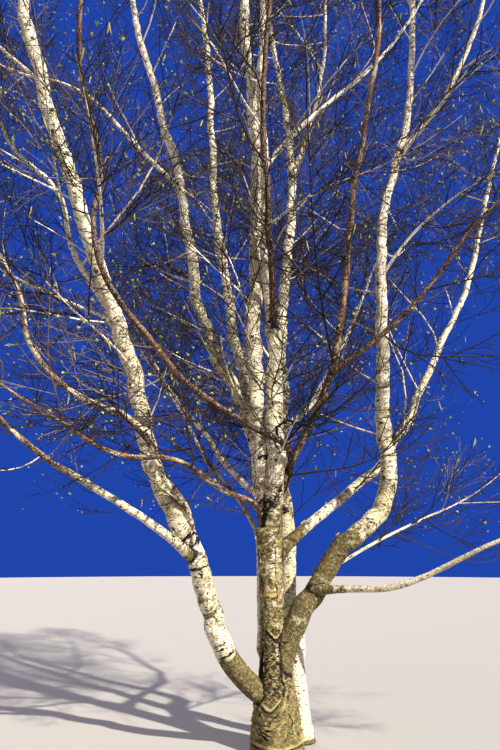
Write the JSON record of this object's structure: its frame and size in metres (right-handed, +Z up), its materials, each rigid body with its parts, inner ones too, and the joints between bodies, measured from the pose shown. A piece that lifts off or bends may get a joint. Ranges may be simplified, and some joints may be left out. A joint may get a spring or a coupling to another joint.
{
  "type": "gray birch tree",
  "caption": "Whole gray birch clump in early spring: a short flared trunk forks into tall white stems and brown boughs that end in fine bare twigs hung with catkins.",
  "frame": {"origin": "middle of the flat cut under the trunk, at ground level", "axes": "+Z up, +Y away from the side that the picture shows, +X to the right in the picture"},
  "size_m": [7.4581, 5.8169, 10.7136],
  "materials": {
    "trunk_bark": "rough gray-brown bark with curled ridges",
    "white_bark": "chalky white bark with short dark cross marks",
    "young_bark": "smooth red-brown bark, slightly shiny",
    "twigs": "fine dark brown twigs with yellow-green catkins and buds"
  },
  "bodies": {
    "root": {"bough_arching_right": "young_bark", "bough_back_high": "white_bark", "bough_back_left": "white_bark", "bough_back_right": "white_bark", "bough_brown_right": "young_bark", "bough_front_left": "young_bark", "bough_hook": "young_bark", "bough_left_high": "white_bark", "bough_left_inner": "young_bark", "bough_left_low": "white_bark", "bough_left_thin": "young_bark", "bough_outer_left": "white_bark", "bough_outer_right": "white_bark", "bough_rear_right": "white_bark", "bough_right_high": "white_bark", "bough_right_low": "white_bark", "bough_white_right": "white_bark", "stem_brown": "young_bark", "stem_front": "white_bark", "stem_front_white": "white_bark", "stem_left": "white_bark", "stem_mid_left": "white_bark", "stem_middle": "white_bark", "stem_rear": "white_bark", "stem_rear_left": "white_bark", "stem_right": "white_bark", "trunk": "trunk_bark", "twigs_arching_right": "twigs", "twigs_back_high": "twigs", "twigs_back_left": "twigs", "twigs_back_mid": "twigs", "twigs_back_right": "twigs", "twigs_back_side": "twigs", "twigs_brown": "twigs", "twigs_brown_right": "twigs", "twigs_front_left": "twigs", "twigs_front_white": "twigs", "twigs_hook": "twigs", "twigs_hook_side": "twigs", "twigs_left": "twigs", "twigs_left_high": "twigs", "twigs_left_inner": "twigs", "twigs_left_low": "twigs", "twigs_left_mid": "twigs", "twigs_left_thin": "twigs", "twigs_left_top": "twigs", "twigs_mid_left": "twigs", "twigs_mid_low": "twigs", "twigs_middle": "twigs", "twigs_outer_left": "twigs", "twigs_outer_right": "twigs", "twigs_rear": "twigs", "twigs_rear_left": "twigs", "twigs_rear_right": "twigs", "twigs_right": "twigs", "twigs_right_high": "twigs", "twigs_right_low": "twigs", "twigs_right_mid": "twigs", "twigs_right_thin": "twigs", "twigs_white_right": "twigs"}
  },
  "joints": []
}
